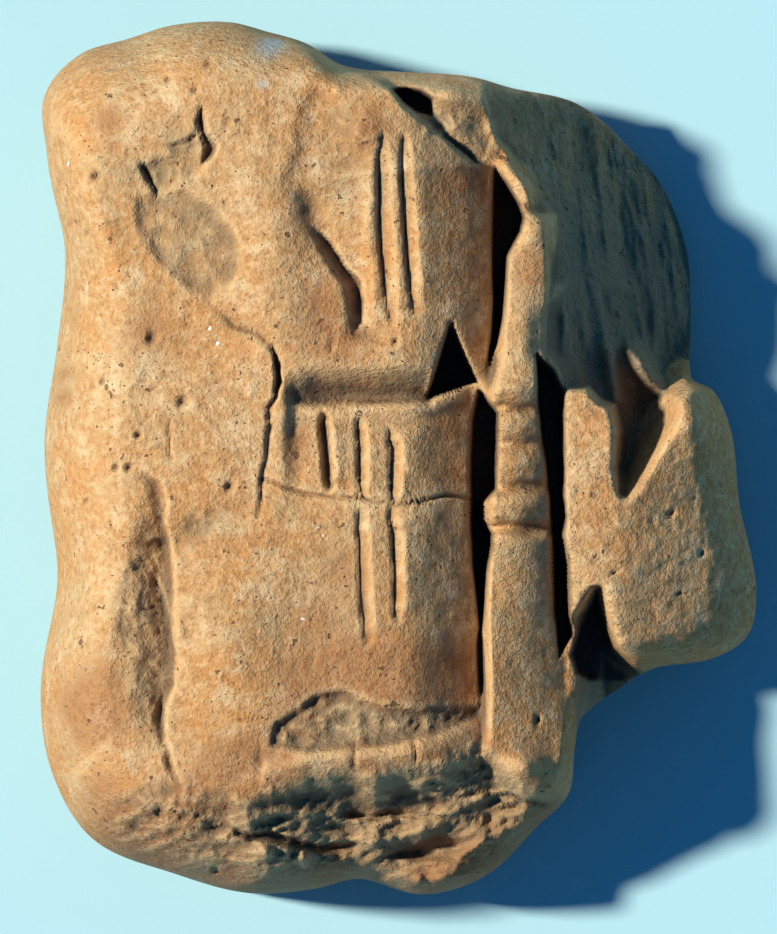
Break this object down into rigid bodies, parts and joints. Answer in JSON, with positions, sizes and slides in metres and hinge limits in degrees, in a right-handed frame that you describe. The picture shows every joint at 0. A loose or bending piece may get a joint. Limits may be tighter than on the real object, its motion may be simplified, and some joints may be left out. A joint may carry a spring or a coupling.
{
  "type": "clay tablet fragment",
  "caption": "Small cushion-shaped fired clay tablet with rows of shallow pressed strokes, pinched bars along one edge and a broken lower end.",
  "frame": {"origin": "centre of the bounding box, on the surface that the tablet lies on", "axes": "+X towards the pinched right edge, +Y towards the upper end, +Z out of the inscribed face"},
  "size_m": [0.0376, 0.046, 0.0176],
  "materials": {
    "clay": "fired clay, matt, orange tan with cream and grey-olive mottling"
  },
  "bodies": {
    "root": {"tablet": "clay"}
  },
  "joints": []
}
